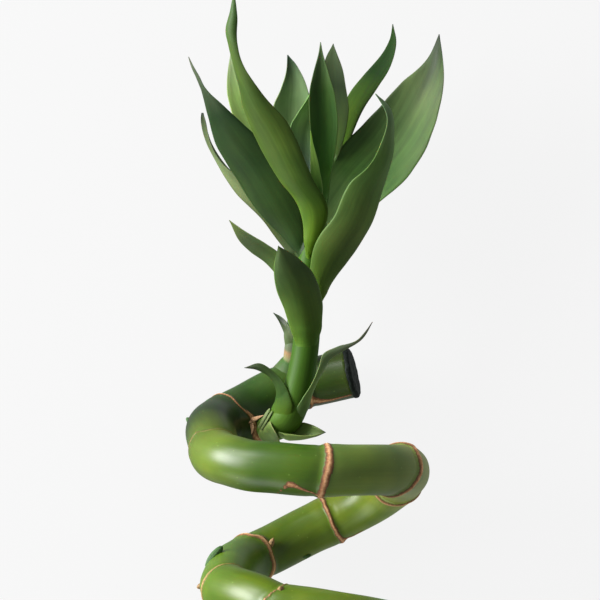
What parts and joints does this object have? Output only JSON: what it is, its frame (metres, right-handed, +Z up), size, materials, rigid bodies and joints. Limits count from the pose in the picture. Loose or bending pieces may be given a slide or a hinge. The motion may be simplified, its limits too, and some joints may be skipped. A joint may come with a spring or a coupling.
{
  "type": "lucky bamboo stalk",
  "caption": "Cut stalk of lucky bamboo: a green cane trained into a spiral, lying down, with two leafy shoots near its waxed upper end.",
  "frame": {"origin": "on the surface that the stalk lies on, below the middle of its length and width", "axes": "+Y along the stalk towards the leaf tips, +Z up from the surface, +X to the right seen from above with the tips away"},
  "size_m": [0.0904, 0.3692, 0.0843],
  "materials": {
    "cane": "smooth waxy green cane with tan leaf scars",
    "wax": "dark grey-green sealing wax",
    "shoot": "green shoot wrapped in leaf bases",
    "leaf": "deep green satin leaf with parallel veins"
  },
  "bodies": {
    "root": {"cane": "cane", "wax_seal": "wax", "front_shoot": "shoot", "rear_shoot": "shoot", "front_leaf": "leaf", "tall_leaf": "leaf", "right_front_leaf": "leaf", "left_leaf": "leaf", "young_leaf": "leaf", "centre_leaf": "leaf", "broad_leaf": "leaf", "low_left_leaf": "leaf", "back_leaf": "leaf", "far_left_leaf": "leaf", "middle_leaf": "leaf", "small_left_leaf": "leaf", "upper_right_leaf": "leaf", "upper_left_leaf": "leaf", "base_right_scale": "leaf", "base_left_scale": "leaf", "base_front_scale": "leaf", "base_collar_scale": "leaf", "rear_scale": "leaf"}
  },
  "joints": []
}
